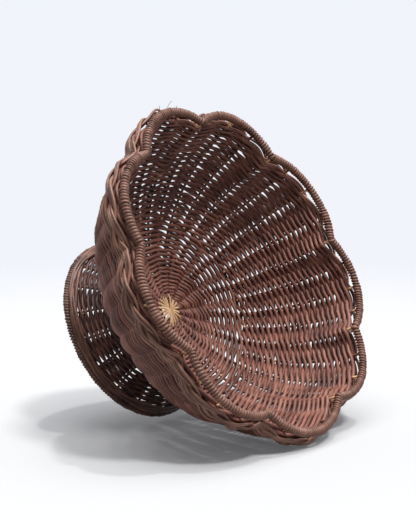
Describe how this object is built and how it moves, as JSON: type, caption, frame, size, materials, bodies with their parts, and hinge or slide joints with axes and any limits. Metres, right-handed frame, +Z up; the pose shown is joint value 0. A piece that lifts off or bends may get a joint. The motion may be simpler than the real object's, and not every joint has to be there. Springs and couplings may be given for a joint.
{
  "type": "woven fruit basket",
  "caption": "Deep woven cane fruit basket: a flared bowl with a scalloped, wrapped rim over a plaited border, on a low flared round foot.",
  "frame": {"origin": "on the basket's axis, at the flat that the foot stands on", "axes": "+Z up the basket's axis, out of the bowl's mouth; +X through the middle of one lobe of the rim; +Y completes a right-handed frame"},
  "size_m": [0.3256, 0.3256, 0.1614],
  "materials": {
    "woven_cane": "satin",
    "spoke_cane": "satin",
    "wrapping_cane": "satin",
    "border_cane": "satin",
    "pale_cane": "matte"
  },
  "bodies": {
    "root": {"added_stakes_lobe_1": "spoke_cane", "added_stakes_lobe_2": "spoke_cane", "added_stakes_lobe_3": "spoke_cane", "added_stakes_lobe_4": "spoke_cane", "added_stakes_lobe_5": "spoke_cane", "added_stakes_lobe_6": "spoke_cane", "added_stakes_lobe_7": "spoke_cane", "added_stakes_lobe_8": "spoke_cane", "added_stakes_lobe_9": "spoke_cane", "base_star": "pale_cane", "base_weave_inside": "woven_cane", "base_weave_outside": "woven_cane", "border_strand_1": "border_cane", "border_strand_2": "border_cane", "border_strand_3": "border_cane", "foot_binding": "border_cane", "foot_border_strand_1": "border_cane", "foot_border_strand_2": "border_cane", "foot_hoop": "spoke_cane", "foot_spokes_1": "spoke_cane", "foot_spokes_2": "spoke_cane", "foot_spokes_3": "spoke_cane", "foot_weave_inside": "woven_cane", "foot_weave_outside": "woven_cane", "foot_wrap": "wrapping_cane", "lower_side_weave_inside": "woven_cane", "lower_side_weave_outside": "woven_cane", "main_spokes_lobe_1": "spoke_cane", "main_spokes_lobe_2": "spoke_cane", "main_spokes_lobe_3": "spoke_cane", "main_spokes_lobe_4": "spoke_cane", "main_spokes_lobe_5": "spoke_cane", "main_spokes_lobe_6": "spoke_cane", "main_spokes_lobe_7": "spoke_cane", "main_spokes_lobe_8": "spoke_cane", "main_spokes_lobe_9": "spoke_cane", "rim_hoop": "spoke_cane", "rim_wrap": "wrapping_cane", "upper_side_weave_inside": "woven_cane", "upper_side_weave_outside": "woven_cane"}
  },
  "joints": []
}
